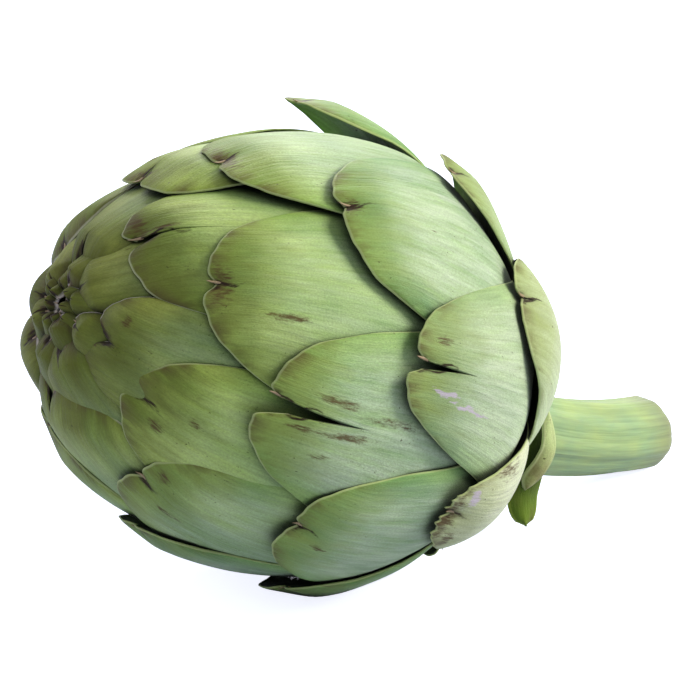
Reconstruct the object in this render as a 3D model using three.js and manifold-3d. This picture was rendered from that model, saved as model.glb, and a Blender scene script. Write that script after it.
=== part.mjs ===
import * as THREE from "three";
import Module from "manifold-3d";

// A globe artichoke, picked with a length of stem and lying on its side. Millimetres, +Z up. The
// closed end of the head looks along -X and upward; the belly of the head and the cut end of the
// stem rest on z = 0. Overlapping bracts stand out of a core, one after another round the head at
// the golden angle, each a little nearer the foot than the one before.

// Head: half an egg towards the closed end, a flatter half egg towards the foot.
const HEAD_TILT = THREE.MathUtils.degToRad(21.5);
const APEX_LENGTH = 67.3;
const BASE_LENGTH = 44.5;
const HEAD_RADIUS = 49.5;
const REST_FLAT = 3;
const BELLY_OFFSET = 5.3;

// Order of the bracts. The arc from the closed end to a bract's tip grows with its number.
const INNERMOST = -15;
const OUTERMOST = 27;
const GOLDEN_ANGLE = 137.508;
const FIRST_ANGLE = -64;
const TIP_START = 33;
const TIP_STEP = 2.85;
const TIP_SPREAD = 0.044;
const FOOT_ARC = 160;

// One bract: a blunt leaf, widening to the root, that dives under the ones outside it.
const BRACT_LENGTH = 62;
const BRACT_HALF_WIDTH = 25;
const WIDEST_AT = 40;
const WIDENING = 0.36;
const TIP_DEPTH = 12;
const TIP_ROUND = 2.8;
const NOTCH = 1.8;
const NOTCH_WIDTH = 0.09;
const EDGE_THICKNESS = 0.8;
const ROOT_THICKNESS = 3;
const STEP_UNDER = 1.2;
const STEP_ARC = 6;
const DIVE = 0.085;
const PLUNGE = 4;
const PLUNGE_ARC = 10;
const BULGE = 1.2;
const LIFT_REACH = 42;
const LIFT_ARCH = 0.35;
const THORN_LENGTH = 2.6;
const THORN_WIDTH = 1.5;

// Core under the bracts, deeper below them round the middle than at the foot.
const CORE_DEPTH = 7.5;
const FOOT_DEPTH = 2.5;
const CORE_SIDES = 28;
const CORE_RINGS = 12;

// Stem, from its seat in the foot to the cut end that lies on the ground.
const STEM_RADIUS = 9.2;
const STEM_NECK = 12;
const STEM_NECK_RUN = 0.22;
const STEM_SEAT = 4;
const STEM_DROP = 3.5;
const STEM_MIDDLE = [70.5, -0.4, -35.2];
const STEM_END = [102.7, 2.8, -37.4];
const STEM_SIDES = 30;
const STEM_RINGS = 14;
const STEM_RIBS = 9;
const RIB_HEIGHT = 0.35;
const SEAT_GAP = 0.2;

// Two small bracts bent back from the foot, hanging beside the stem: the run of each one's middle
// line and of its face from the head's centre, root first.
const BENT_BRACTS = [
  {
    path: [[37, -15, -9], [44.8, -14, -11.5], [53.5, -11.5, -16.5], [53, -11, -28], [49.7, -11.7, -42.8]],
    face: [0.45, -1, 0.1],
    halfWidth: 4,
  },
  {
    path: [[38, -16.5, -9], [46, -16, -12], [53.5, -15, -17], [51.1, -17.7, -26], [46.3, -16.5, -34.4]],
    face: [1, -0.35, 0.25],
    halfWidth: 3,
  },
];
const BENT_COLUMNS = [-1, -0.5, 0, 0.5, 1];
const BENT_ROWS = 8;

// Bracts that differ from the rule: turn in degrees round the head, reach in mm towards the foot,
// lift in mm off the head at the tip, width as a share of the others', split in mm down the middle
// and how far it gapes.
const HABITS = {
  "-11": { turn: -10 },
  "-8": { turn: -16, split: 9, gape: 1.2 },
  "-6": { turn: -12 },
  "-5": { split: 17, gape: 0.9 },
  "-3": { reach: 0.8 },
  "-2": { turn: -8, reach: 2.4 },
  2: { turn: 2, reach: -2 },
  5: { turn: 0.9, reach: 1.1, split: 24, gape: 3.2 },
  7: { turn: 4, reach: -2 },
  8: { turn: 2.8, reach: 2.3, split: 3, gape: 1 },
  10: { turn: 1.5, reach: 0.5, split: 4, gape: 0.8 },
  11: { turn: 1, reach: 1, lift: 9.5, wide: 0.52 },
  13: { turn: -1.9, reach: -2, split: 17, gape: 2.2 },
  16: { turn: 3, lift: 4, wide: 0.64 },
  18: { turn: -7, reach: -1, lift: 1 },
  21: { turn: 2, reach: 3.5, lift: 4 },
};

// Where a bract's two faces have points: full for the ones in plain view, fewer for the small ones
// that close the head and the ones at the foot.
const COLUMNS = [-1, -0.8, -0.42, -0.12, 0, 0.12, 0.42, 0.8, 1];
const ROWS = [0, 0.08, 0.28, 0.6, 1];
const FEW_COLUMNS = [-1, -0.6, -0.12, 0, 0.12, 0.6, 1];
const FEW_ROWS = [0, 0.1, 0.4, 1];
const FIRST_FULL = -3;
const LAST_FULL = 21;
const SMALLEST_STEP = 0.2;

const AXIS = new THREE.Vector3(-Math.cos(HEAD_TILT), 0, Math.sin(HEAD_TILT));
const UP = new THREE.Vector3(Math.sin(HEAD_TILT), 0, Math.cos(HEAD_TILT));
const SIDE = new THREE.Vector3(0, 1, 0);
const BELLY = Math.hypot(BASE_LENGTH * Math.sin(HEAD_TILT), HEAD_RADIUS * Math.cos(HEAD_TILT));
const CENTRE = new THREE.Vector3(BELLY_OFFSET, 0, BELLY - REST_FLAT);

const { Manifold, Mesh } = await Module().then((made) => {
  made.setup();
  return made;
});

function draw(state) {
  state.value = (1664525 * state.value + 1013904223) % 4294967296;
  return state.value / 4294967296;
}

function semiAxis(angle) {
  return angle < Math.PI / 2 ? APEX_LENGTH : BASE_LENGTH;
}

// Arc lengths along the head's outline from the closed end, at equal steps of the outline's angle.
const ARC_STEPS = 360;
const arcs = [0];
for (let i = 1; i <= ARC_STEPS; i += 1) {
  const [a, b] = [((i - 1) * Math.PI) / ARC_STEPS, (i * Math.PI) / ARC_STEPS];
  const along = semiAxis(b) * Math.cos(b) - semiAxis(a) * Math.cos(a);
  const out = HEAD_RADIUS * (Math.sin(b) - Math.sin(a));
  arcs.push(arcs[i - 1] + Math.hypot(along, out));
}

function angleAtArc(arc) {
  let i = 1;
  while (i < ARC_STEPS && arcs[i] < arc) i += 1;
  const part = (arc - arcs[i - 1]) / (arcs[i] - arcs[i - 1]);
  return ((i - 1 + part) * Math.PI) / ARC_STEPS;
}

function arcAtAngle(angle) {
  const place = (angle / Math.PI) * ARC_STEPS;
  const i = Math.min(ARC_STEPS - 1, Math.floor(place));
  return arcs[i] + (place - i) * (arcs[i + 1] - arcs[i]);
}

function direction(turn) {
  return UP.clone().multiplyScalar(Math.cos(turn)).addScaledVector(SIDE, Math.sin(turn));
}

// The point of the egg at an outline angle and a turn round the axis, with its normal.
function onEgg(angle, turn) {
  const length = semiAxis(angle);
  const outward = direction(turn);
  const point = CENTRE.clone();
  point.addScaledVector(AXIS, length * Math.cos(angle));
  point.addScaledVector(outward, HEAD_RADIUS * Math.sin(angle));
  const normal = AXIS.clone().multiplyScalar(HEAD_RADIUS * Math.cos(angle));
  normal.addScaledVector(outward, length * Math.sin(angle)).normalize();
  return { point, normal };
}

function dive(y) {
  const past = Math.max(0, y);
  const plunge = Math.min(1, Math.max(0, (y - BRACT_LENGTH) / PLUNGE_ARC + 1));
  return DIVE * y + STEP_UNDER * (1 - Math.exp(-past / STEP_ARC)) + PLUNGE * plunge * plunge;
}

function thickness(u, y) {
  const inside = (1 - u * u) * Math.min(1, Math.max(0, y - 4) / 20);
  return EDGE_THICKNESS + (ROOT_THICKNESS - EDGE_THICKNESS) * inside;
}

function makeBract(number, state) {
  const habit = { turn: 0, reach: 0, lift: 0, wide: 1, split: 0, gape: 0, ...HABITS[number] };
  const turn = FIRST_ANGLE + GOLDEN_ANGLE * number + habit.turn + 2 * (draw(state) - 0.5);
  const tip = TIP_START + TIP_STEP * number + TIP_SPREAD * number * number + habit.reach;
  let halfWidth = BRACT_HALF_WIDTH * habit.wide * (0.97 + 0.06 * draw(state));
  if (number < 0) halfWidth += 0.85 * number;
  if (number > 17) halfWidth -= 1.1 * (number - 17);
  const full = number >= FIRST_FULL && number <= LAST_FULL;
  return {
    ...habit,
    columns: full ? COLUMNS : FEW_COLUMNS,
    rows: full ? ROWS : FEW_ROWS,
    turn: THREE.MathUtils.degToRad(turn),
    tip,
    halfWidth,
    length: Math.min(BRACT_LENGTH, FOOT_ARC - tip),
  };
}

function halfWidthAt(bract, y) {
  const grown = Math.pow(Math.max(y, TIP_DEPTH) / WIDEST_AT, WIDENING);
  const rootward = Math.max(0, (y - 0.7 * bract.length) / (0.3 * bract.length));
  return bract.halfWidth * grown * (1 - 0.45 * rootward * rootward);
}

function edgeStart(bract, u) {
  const notch = NOTCH * Math.exp(-((u / NOTCH_WIDTH) ** 2));
  return TIP_DEPTH * Math.pow(Math.abs(u), TIP_ROUND) + notch;
}

// A point of a bract's outer face: u runs across it from -1 to 1, y is mm from its tip to its root.
// The point is laid across the egg from the bract's midline, then sunk by how far it is rootward.
function bractPoint(bract, u, y, inset) {
  const angle = angleAtArc(bract.tip + y);
  const { point, normal } = onEgg(angle, bract.turn);
  const across = SIDE.clone().multiplyScalar(Math.cos(bract.turn));
  across.addScaledVector(UP, -Math.sin(bract.turn));
  const length = semiAxis(angle);
  const bend = (HEAD_RADIUS / length) * Math.hypot(
    HEAD_RADIUS * Math.cos(angle),
    length * Math.sin(angle),
  );
  const swing = (u * halfWidthAt(bract, y)) / bend;
  point.addScaledVector(across, bend * Math.sin(swing));
  point.addScaledVector(normal, -bend * (1 - Math.cos(swing)));
  const local = point.sub(CENTRE);
  const along = local.dot(AXIS);
  const turn = Math.atan2(local.dot(SIDE), local.dot(UP));
  const radius = Math.hypot(local.dot(SIDE), local.dot(UP));
  const here = Math.atan2(radius / HEAD_RADIUS, along / (along > 0 ? APEX_LENGTH : BASE_LENGTH));
  const egg = onEgg(here, turn);
  const bulge = BULGE * (1 - u * u) * Math.min(1, y / 12);
  const lift = bract.lift * Math.max(0, 1 - y / LIFT_REACH) ** 2 * (1 - LIFT_ARCH * u * u);
  const height = bulge + lift - dive(arcAtAngle(here) - bract.tip) - inset;
  return egg.point.addScaledVector(egg.normal, height);
}

function solid(points, triangles) {
  const mesh = new Mesh({
    numProp: 3,
    vertProperties: Float32Array.from(points.flatMap((p) => [p.x, p.y, p.z])),
    triVerts: Uint32Array.from(triangles.flat()),
  });
  return Manifold.ofMesh(mesh);
}

// A closed sheet from two grids of points, the outer one first, joined round their edges.
function sheet(outer, inner) {
  const rows = outer.length;
  const columns = outer[0].length;
  const points = [...outer.flat(), ...inner.flat()];
  const at = (side, i, j) => side * rows * columns + i * columns + j;
  const triangles = [];
  for (let i = 0; i + 1 < rows; i += 1) {
    for (let j = 0; j + 1 < columns; j += 1) {
      const [a, b, c, d] = [at(0, i, j), at(0, i, j + 1), at(0, i + 1, j), at(0, i + 1, j + 1)];
      const [e, f, g, h] = [at(1, i, j), at(1, i, j + 1), at(1, i + 1, j), at(1, i + 1, j + 1)];
      triangles.push([a, c, b], [b, c, d], [e, f, g], [f, h, g]);
    }
  }
  const border = [];
  for (let j = 0; j + 1 < columns; j += 1) border.push([0, j, 0, j + 1]);
  for (let i = 0; i + 1 < rows; i += 1) border.push([i, columns - 1, i + 1, columns - 1]);
  for (let j = columns - 1; j > 0; j -= 1) border.push([rows - 1, j, rows - 1, j - 1]);
  for (let i = rows - 1; i > 0; i -= 1) border.push([i, 0, i - 1, 0]);
  for (const [i, j, k, l] of border) {
    triangles.push([at(0, i, j), at(0, k, l), at(1, i, j)]);
    triangles.push([at(0, k, l), at(1, k, l), at(1, i, j)]);
  }
  return solid(points, triangles);
}

function bractSolid(bract) {
  const grids = [0, 1].map((side) =>
    bract.rows.map((v) =>
      bract.columns.map((u) => {
        const start = edgeStart(bract, u);
        const y = start + (bract.length - start) * v;
        return bractPoint(bract, u, y, side * thickness(u, y));
      }),
    ),
  );
  let made = sheet(...grids);
  if (bract.split > 0) made = made.subtract(splitWedge(bract));
  return made.add(thorn(bract));
}

// The wedge that opens a bract from its notch down the middle.
function splitWedge(bract) {
  const across = SIDE.clone().multiplyScalar(Math.cos(bract.turn));
  across.addScaledVector(UP, -Math.sin(bract.turn));
  const corners = [];
  for (const [y, width] of [[-2, bract.gape * 1.1], [bract.split / 2, bract.gape / 2], [bract.split, 0.02]]) {
    for (const side of [-1, 1]) {
      for (const inset of [-2, 3]) {
        const corner = bractPoint(bract, 0, y, inset).addScaledVector(across, (side * width) / 2);
        corners.push([corner.x, corner.y, corner.z]);
      }
    }
  }
  return Manifold.hull(corners);
}

// A short four-sided thorn standing in the notch.
function thorn(bract) {
  const half = THORN_WIDTH / 2;
  const across = SIDE.clone().multiplyScalar(Math.cos(bract.turn));
  across.addScaledVector(UP, -Math.sin(bract.turn));
  const corners = [];
  for (const side of [-1, 1]) {
    for (const inset of [-0.2, EDGE_THICKNESS + 0.3]) {
      const foot = bractPoint(bract, 0, NOTCH + 1.5, inset).addScaledVector(across, side * half);
      corners.push([foot.x, foot.y, foot.z]);
    }
  }
  const point = bractPoint(bract, 0, NOTCH - THORN_LENGTH, -0.6);
  corners.push([point.x, point.y, point.z]);
  return Manifold.hull(corners);
}

// A body of rings of points, closed at both ends by a point.
function turned(first, rings, last) {
  const sides = rings[0].length;
  const points = [first, ...rings.flat(), last];
  const end = points.length - 1;
  const triangles = [];
  for (let j = 0; j < sides; j += 1) {
    const next = (j + 1) % sides;
    triangles.push([0, 1 + j, 1 + next]);
    for (let i = 0; i + 1 < rings.length; i += 1) {
      const [a, b] = [1 + i * sides + j, 1 + i * sides + next];
      triangles.push([a, a + sides, b], [b, a + sides, b + sides]);
    }
    const lastRing = 1 + (rings.length - 1) * sides;
    triangles.push([lastRing + j, end, lastRing + next]);
  }
  return solid(points, triangles);
}

function eggCore() {
  const depthAt = (angle) => {
    const footward = THREE.MathUtils.smoothstep(angle, 0.5 * Math.PI, 0.85 * Math.PI);
    return CORE_DEPTH + (FOOT_DEPTH - CORE_DEPTH) * footward;
  };
  const at = (angle, turn) => {
    const { point, normal } = onEgg(angle, turn);
    return point.addScaledVector(normal, -depthAt(angle));
  };
  const rings = [];
  for (let i = 1; i <= CORE_RINGS; i += 1) {
    const angle = (i * Math.PI) / (CORE_RINGS + 1);
    rings.push(Array.from({ length: CORE_SIDES }, (_, j) => at(angle, (j * 2 * Math.PI) / CORE_SIDES)));
  }
  return turned(at(0, 0), rings, at(Math.PI, 0));
}

// A small leaf along a curve: blunt, cupped, its root sunk in the foot.
function bentBract({ path, face, halfWidth }) {
  const curve = new THREE.CatmullRomCurve3(path.map((p) => CENTRE.clone().add(new THREE.Vector3(...p))));
  const facing = new THREE.Vector3(...face).normalize();
  const grids = [0, EDGE_THICKNESS + 0.2].map((inset) =>
    Array.from({ length: BENT_ROWS }, (_, i) => {
      const part = i / (BENT_ROWS - 1);
      const across = new THREE.Vector3().crossVectors(facing, curve.getTangentAt(part)).normalize();
      const normal = new THREE.Vector3().crossVectors(curve.getTangentAt(part), across).normalize();
      const width = halfWidth * (0.6 + 0.4 * Math.sin(Math.PI * part)) * (part < 0.9 ? 1 : 0.6);
      return BENT_COLUMNS.map((u) => {
        const point = curve.getPointAt(part).addScaledVector(across, u * width);
        return point.addScaledVector(normal, -0.8 * u * u - inset);
      });
    }),
  );
  return sheet(...grids);
}

// The stem bows a little on its way from its seat in the foot to the cut end.
function stemSolid(extra) {
  const seat = CENTRE.clone().addScaledVector(AXIS, STEM_SEAT - BASE_LENGTH).addScaledVector(UP, -STEM_DROP);
  const middle = CENTRE.clone().add(new THREE.Vector3(...STEM_MIDDLE));
  const end = CENTRE.clone().add(new THREE.Vector3(...STEM_END));
  const curve = new THREE.QuadraticBezierCurve3(seat, middle, end);
  const rings = [];
  for (let i = 0; i < STEM_RINGS; i += 1) {
    const part = i / (STEM_RINGS - 1);
    const run = curve.getTangent(part);
    const side = new THREE.Vector3().crossVectors(run, UP).normalize();
    const rise = new THREE.Vector3().crossVectors(side, run).normalize();
    const neck = (STEM_NECK - STEM_RADIUS) * Math.exp(-((part / STEM_NECK_RUN) ** 2));
    rings.push(
      Array.from({ length: STEM_SIDES }, (_, j) => {
        const turn = (j * 2 * Math.PI) / STEM_SIDES;
        const rib = RIB_HEIGHT * Math.cos(STEM_RIBS * turn + 1.5 * part);
        const radius = STEM_RADIUS + neck + rib + extra;
        const point = curve.getPoint(part).addScaledVector(side, radius * Math.cos(turn));
        return point.addScaledVector(rise, radius * Math.sin(turn));
      }),
    );
  }
  return turned(seat.clone().addScaledVector(curve.getTangent(0), -extra), rings, end);
}

// Every closed hollow is filled and loose scraps are dropped: the largest shell is kept.
function wholeBody(body) {
  const parts = body.decompose();
  parts.sort((a, b) => b.volume() - a.volume());
  return parts[0];
}

function toGeometry(body) {
  const mesh = body.getMesh();
  const geometry = new THREE.BufferGeometry();
  geometry.setAttribute("position", new THREE.BufferAttribute(mesh.vertProperties, 3));
  geometry.setIndex(new THREE.BufferAttribute(mesh.triVerts, 1));
  geometry.computeVertexNormals();
  return geometry;
}

const state = { value: 12345 };
const pieces = [eggCore()];
for (let number = INNERMOST; number <= OUTERMOST; number += 1) {
  pieces.push(bractSolid(makeBract(number, state)));
}
pieces.push(...BENT_BRACTS.map(bentBract));
const ground = [0, 0, 1];
const fused = Manifold.union(pieces).asOriginal().simplify(SMALLEST_STEP);
const headBody = wholeBody(fused.subtract(stemSolid(SEAT_GAP)).trimByPlane(ground, 0));
const stemBody = wholeBody(stemSolid(0).trimByPlane(ground, 0));

const green = new THREE.MeshStandardMaterial({ color: 0x7f9a58, roughness: 0.55 });
const pale = new THREE.MeshStandardMaterial({ color: 0xa9be83, roughness: 0.6 });

const head = new THREE.Mesh(toGeometry(headBody), green);
head.name = "head";
const stem = new THREE.Mesh(toGeometry(stemBody), pale);
stem.name = "stem";

const group = new THREE.Group();
group.name = "artichoke";
group.add(head, stem);

export default group;
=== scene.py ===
import math

import bpy
import numpy as np
from mathutils import Matrix, Vector


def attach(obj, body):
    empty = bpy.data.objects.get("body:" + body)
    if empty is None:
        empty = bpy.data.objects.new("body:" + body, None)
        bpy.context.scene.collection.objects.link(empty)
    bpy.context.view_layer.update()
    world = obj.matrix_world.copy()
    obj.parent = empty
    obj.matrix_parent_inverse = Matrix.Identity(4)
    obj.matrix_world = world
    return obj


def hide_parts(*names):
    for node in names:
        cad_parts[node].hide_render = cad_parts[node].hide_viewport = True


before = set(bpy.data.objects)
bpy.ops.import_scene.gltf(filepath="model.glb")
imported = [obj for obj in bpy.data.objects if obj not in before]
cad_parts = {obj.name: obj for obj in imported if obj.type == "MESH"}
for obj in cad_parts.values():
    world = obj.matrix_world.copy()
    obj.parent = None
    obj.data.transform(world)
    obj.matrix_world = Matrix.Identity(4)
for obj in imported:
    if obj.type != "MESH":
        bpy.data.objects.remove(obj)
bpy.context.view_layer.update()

MM = 0.001

# Head: half an egg towards the closed end, a flatter half egg towards the foot. Millimetres.
HEAD_TILT = math.radians(21.5)
APEX_LENGTH = 67.3
BASE_LENGTH = 44.5
HEAD_RADIUS = 49.5
REST_FLAT = 3.0
BELLY_OFFSET = 5.3

# Order of the bracts, from the ones that close the head to the ones at the foot. The tip of bract n
# lies TIP_START + TIP_STEP n + TIP_SPREAD n squared mm down the head from its closed end.
HEART = -29
INNERMOST = -15
OUTERMOST = 27
GOLDEN_ANGLE = 137.508
FIRST_ANGLE = -64.0
TURN_SPREAD = 2.0
TIP_START = 33.0
TIP_STEP = 2.85
TIP_SPREAD = 0.044
FOOT_ARC = 160.0
FOOT_FROM = 17
FOOT_NARROWING = 1.1
BRACT_SEED = 12345
HEART_SEED = 2024

# The heart: inwards of HEART_FROM each bract is smaller than the last by the same share, and the
# youngest are plump, with rims that roll in further.
HEART_FROM = -5
HEART_SHRINK = 0.125
HEART_SIZES = 0.7
HEART_NARROWING = 0.85
HEART_LIFT = 1.5
PLUMP_FROM = -4
PLUMP_SPAN = 5
PLUMP_BULGE = 1.2
PLUMP_REACH = 15.0
PLUMP_RIM_DROP = 1.1
PLUMP_RIM_RUN = 0.9

# One bract: a blunt leaf, widening to the root, that dives under the ones outside it.
BRACT_LENGTH = 62.0
BRACT_HALF_WIDTH = 25.0
WIDTH_LEAST = 0.97
WIDTH_SPREAD = 0.06
WIDEST_AT = 40.0
WIDENING = 0.36
WIDTH_FROM = 12.0
WIDTH_EASING = 30.0
ROOT_FROM = 0.7
ROOT_SPAN = 0.3
ROOT_NARROWING = 0.45
TIP_DEPTH = 20.0
TIP_ROUND = 2.3
NOTCH = 1.8
NOTCH_WIDTH = 0.07
LOBE_TURN = 0.62
SKEW_RUN = 0.08
EDGE_THICKNESS = 0.35
ROOT_THICKNESS = 2.4
STEP_UNDER = 1.2
STEP_ARC = 6.0
DIVE = 0.085
PLUNGE = 4.0
PLUNGE_ARC = 10.0
RIM_DROP = 0.25
RIM_RUN = 0.7
DIMPLE_DEPTH = 0.8
DIMPLE_ACROSS = 1.8
DIMPLE_DOWN = 3.5
LIFT_REACH = 42.0
LIFT_ARCH = 0.35
BELLY_REACH = 44.0
FLARE_FROM = 3.0
FLARE_RUN = 42.0
THORN_LENGTH = 1.6
THORN_RADIUS = 0.3

# The blade reaches its full bulge BULGE_RISE mm down from its tip. From BULGE_FROM mm down it loses
# the share BULGE_COVERED of it over BULGE_FADE mm, so that it stays under the leaves that lie on it.
BULGE = 2.0
BULGE_RISE = 10.0
BULGE_FROM = 14.0
BULGE_FADE = 28.0
BULGE_COVERED = 0.55

# Uneven tips: half waves across each half of the leaf and mm that the edge wanders, then the finer
# ripple of a ragged tip, in radians across each half, and its share of the leaf's raggedness.
TIP_WAVES = ((2, 0.35), (5, 0.16), (11, 0.07))
RAGGED_WAVES = (23, 37, 61)
RAGGED_SHARE = 0.6

# Slow waves of the whole blade: radians a mm across and down it, and mm of height.
BLADE_WAVES = ((0.11, 0.07, 0.30), (0.23, 0.12, 0.14), (0.5, 0.1, 0.06))

# Mesh of a bract: columns in each half, more of them where marks are painted, and rows down it.
PLAIN_COLUMNS = 21
MARKED_COLUMNS = 40
BRACT_ROWS = 46

# Where the head is fuller than the egg: mm of height, then place and spread in mm down the head
# and in degrees round it.
SWELLINGS = [
    (4.0, 97.0, 30.0, 6.0, 32.0),
    (3.0, 116.0, 20.0, -78.0, 36.0),
]

CORE_DEPTH = 7.5
FOOT_DEPTH = 2.5

STEM_RADIUS = 9.2
STEM_NECK = 12.0
STEM_NECK_RUN = 0.22
STEM_SEAT = 4.0
STEM_DROP = 3.5
STEM_MIDDLE = (70.5, -0.4, -35.2)
STEM_END = (102.7, 2.8, -37.4)
STEM_LENGTH = 73.0
STEM_RIBS = 9
STEM_RIB_HEIGHT = 0.3
STEM_BEVEL = 1.6

# Bracts that differ from the rule. turn: degrees round the head. lean: mm sideways for each mm down
# the leaf. reach: mm towards the foot. lift: mm off the head at the tip. twist: mm that one side is
# lifted past the other. belly: mm that the middle stands off. wide: share of the others' width.
# lower: share by which the lower half is wider. lobe: how far out across the lower half its tip
# lies. split and gape: how long and how wide the tip is torn open. skew: mm that one half stands
# past the other. flare: mm that the lower edge stands off. ragged: mm of uneven tip. pale: how far
# the leaf is paled, partly as dried out and partly as painted light.
HABITS = {
    -19: {"turn": 1, "reach": -1.3},
    -16: {"turn": -3.9, "reach": 1.3},
    -15: {"turn": 20, "reach": -2},
    -13: {"turn": 1.5, "reach": -2.7, "wide": 1.1},
    -12: {"turn": 5.3, "reach": -1.7},
    -11: {"turn": -20.5, "reach": -2.2, "wide": 1.2, "split": 4, "gape": 0.8},
    -10: {"reach": -2.6, "lower": 0.1, "lobe": 0.3, "split": 4, "gape": 1.0, "skew": 2.2},
    -9: {"turn": -10.5, "reach": 1.1},
    -8: {"turn": -17.6, "reach": -2.2, "wide": 1.15, "lobe": 0.3, "split": 6, "gape": 2.2, "skew": 1.4},
    -7: {"reach": 1, "lift": -1.2},
    -6: {"turn": -15.5, "reach": -2, "wide": 1.75, "lower": -0.45, "split": 7, "gape": 3.0},
    -5: {
        "turn": -1,
        "lean": -0.32,
        "reach": -1.0,
        "wide": 0.92,
        "lower": 0.6,
        "lobe": 0.45,
        "split": 19,
        "gape": 0.9,
        "skew": 2.5,
    },
    -3: {"turn": -0.5, "reach": -0.2, "split": 3, "gape": 1.0, "skew": 1.0, "flare": 0.6},
    -2: {"turn": -13, "reach": 1.6, "lift": 0.2, "lower": 0.3, "lobe": 0.4, "skew": 0.8, "flare": 1.2},
    0: {"lift": 0.4, "twist": 0.4, "lower": 0.2, "split": 3, "gape": 0.5, "flare": 0.6},
    2: {"turn": 2, "reach": -2, "flare": 0.7},
    3: {"lift": 0.9, "lower": 0.12, "flare": 1.2},
    5: {
        "turn": -1.2,
        "reach": -0.1,
        "lift": 0.7,
        "lower": 0.06,
        "lobe": 0.15,
        "split": 21,
        "gape": 3.2,
        "skew": 0.8,
        "flare": 0.5,
    },
    6: {"flare": 1.5},
    7: {"turn": 4, "reach": -2, "flare": 1.0},
    8: {
        "turn": 2.8,
        "reach": 1.9,
        "lift": 0.6,
        "twist": 0.5,
        "lower": 0.2,
        "split": 3,
        "gape": 0.8,
        "flare": 0.8,
    },
    10: {"turn": 1.5, "reach": 0.5, "split": 4, "gape": 0.8, "flare": 1.2},
    11: {"turn": 6, "reach": 5.5, "lift": 5.0, "wide": 0.5, "twist": 3.3},
    13: {
        "turn": -1.9,
        "reach": -2,
        "lower": -0.08,
        "split": 15,
        "gape": 2.0,
        "skew": 1.4,
        "flare": 0.8,
        "pale": 0.2,
    },
    15: {"flare": 0.8},
    16: {"turn": 3.5, "reach": 4.5, "wide": 0.7, "twist": 0.5, "pale": 0.3},
    18: {
        "turn": -2.5,
        "reach": -2.5,
        "belly": 2.2,
        "wide": 0.7,
        "lower": 0.2,
        "ragged": 0.8,
        "pale": 0.9,
    },
    21: {
        "turn": 1,
        "reach": -8,
        "lift": -1.0,
        "belly": 3.4,
        "lower": 0.45,
        "split": 7,
        "gape": 0.7,
        "pale": 0.55,
    },
}
HABIT_NAMES = (
    "turn", "lean", "reach", "lift", "twist", "belly", "split", "gape", "skew", "flare", "ragged",
    "lobe", "lower", "pale",
)

# Each kind of mark: the channel that carries it, and its strength. A scar is dry and brown, a
# blister is a grey-lilac zigzag, and a tear is the dark dry edge of a split.
MARK_KINDS = {"scar": (0, 0.66), "blister": (1, 0.8), "tear": (2, 0.7)}

# Marks on a bract: kind, place across and down it from the tip, half length across and down, in mm.
MARKS = {
    -10: [("tear", 0, 3, 1.5, 3.0)],
    -8: [("tear", 0, 4, 2.0, 5.0), ("scar", 5, 7, 2.2, 2.2)],
    -5: [("scar", 1, 8, 1.2, 5.0), ("scar", 3, 3, 6.0, 4.0)],
    -3: [("tear", 0, 4, 1.3, 3.5), ("scar", -3, 8, 2.0, 4.0), ("scar", 2, 14, 1.5, 3.0)],
    -2: [("tear", -1, 3, 1.5, 4.0), ("scar", 0, 3, 5.0, 4.0), ("scar", 4, 9, 2.5, 3.0)],
    0: [("scar", 0, 3, 7.0, 4.5), ("scar", -5, 16, 1.5, 9.0)],
    2: [("tear", 0, 4, 1.2, 4.0), ("scar", -2, 12, 1.2, 7.0), ("scar", 5, 4, 3.0, 3.0)],
    3: [("scar", 0, 2, 9.0, 5.5)],
    5: [
        ("scar", 3.5, 14, 1.9, 10.0),
        ("scar", 2.5, 28, 1.8, 11.0),
        ("scar", -2, 18, 1.5, 14.0),
        ("scar", -2, 8, 1.2, 6.0),
        ("scar", -7, 14, 1.0, 5.0),
    ],
    8: [("tear", 0, 3, 1.5, 3.0), ("scar", 0, 3, 3.0, 3.0)],
    10: [("scar", -3, 9, 1.4, 4.0)],
    13: [("blister", -3.5, 9, 1.0, 6.0), ("blister", -5, 16, 0.9, 9.0), ("scar", 5, 6, 2.0, 4.0)],
    18: [
        ("scar", 0, 1, 14.0, 5.5),
        ("scar", 11, 12, 4.0, 12.0),
        ("scar", -6, 6, 4.0, 3.0),
        ("blister", 5, 5, 3.0, 2.0),
    ],
}

# Unevenness of the leaf's skin: waves a millimetre across and down it and the turn of the pattern
# from leaf to leaf, then its octaves and how rough they are.
SKIN_PATTERNS = {
    "patches": ((0.085, 0.045, 7.3), 3.0, 0.5),
    "streaks": ((0.45, 0.06, 3.7), 6.0, 0.64),
    "ribs": ((1.3, 0.09, 5.1), 4.0, 0.6),
    "grain": ((3.2, 2.2, 9.1), 2.0, 0.6),
    "tips": ((0.22, 0.09, 2.3), 4.0, 0.6),
    "fields": ((0.16, 0.1, 8.3), 2.0, 0.5),
    "specks": ((1.5, 1.1, 6.7), 2.0, 0.5),
    "flecks": ((1.3, 0.35, 1.7), 6.0, 0.72),
}

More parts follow.
